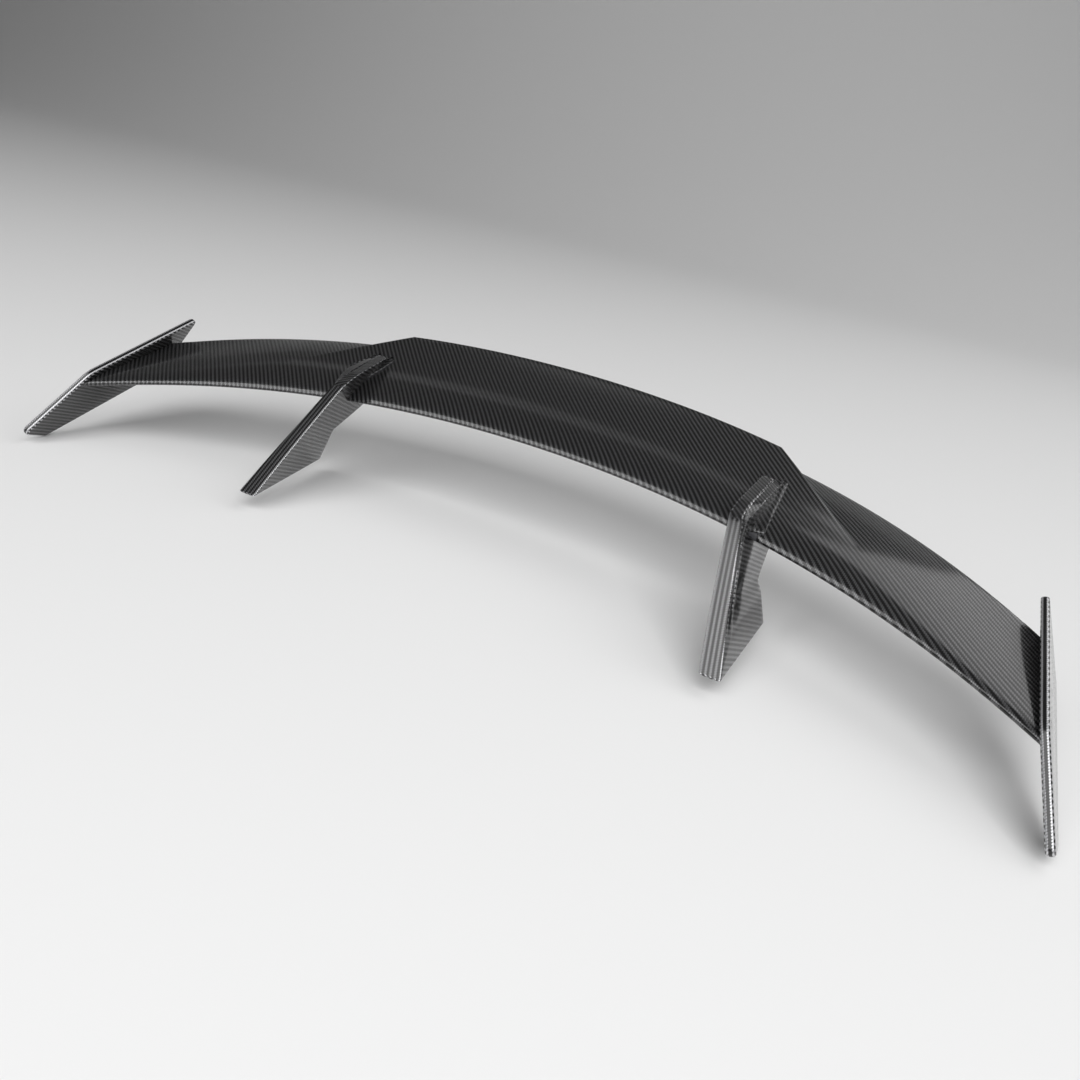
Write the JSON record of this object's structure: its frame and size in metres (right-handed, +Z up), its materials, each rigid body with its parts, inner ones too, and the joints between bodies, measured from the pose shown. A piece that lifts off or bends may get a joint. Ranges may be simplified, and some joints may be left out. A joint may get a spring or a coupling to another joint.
{
  "type": "racing rear wing",
  "caption": "Arched carbon racing rear wing with a raised middle deck, swan-neck uprights that grip the blade, and canted endplates.",
  "frame": {"origin": "centre of the rectangle of mounting holes, on the flat plane of the feet", "axes": "+X along the span towards the right-hand endplate, +Y rearwards towards the trailing edge, +Z up away from the boot lid"},
  "size_m": [1.4218, 0.4304, 0.2237],
  "materials": {
    "gloss_carbon": "clear-coated 2x2 twill carbon fibre, polished",
    "raw_carbon": "bare carbon laminate, hidden inside",
    "foam": "closed-cell structural foam",
    "aluminium": "machined, natural",
    "steel": "turned stainless steel",
    "black_steel": "black oxide",
    "adhesive": "cured structural adhesive"
  },
  "bodies": {
    "root": {"blade_upper_skin": "gloss_carbon", "blade_lower_skin": "gloss_carbon", "blade_main_spar": "raw_carbon", "blade_nose_core": "foam", "blade_rear_core_centre": "foam", "blade_rear_core_left": "foam", "blade_rear_core_right": "foam", "upright_hardpoint_left": "aluminium", "upright_hardpoint_right": "aluminium", "tip_rib_left": "raw_carbon", "tip_rib_right": "raw_carbon", "tip_inserts_left": "steel", "tip_inserts_right": "steel", "upright_left": "gloss_carbon", "upright_right": "gloss_carbon", "upright_core_left": "foam", "upright_core_right": "foam", "adhesive_bed_left": "adhesive", "adhesive_bed_right": "adhesive", "foot_plate_left": "aluminium", "foot_plate_right": "aluminium", "mounting_inserts_left": "steel", "mounting_inserts_right": "steel", "endplate_left": "gloss_carbon", "endplate_right": "gloss_carbon", "endplate_core_left": "foam", "endplate_core_right": "foam", "endplate_screws_left": "black_steel", "endplate_screws_right": "black_steel"}
  },
  "joints": []
}
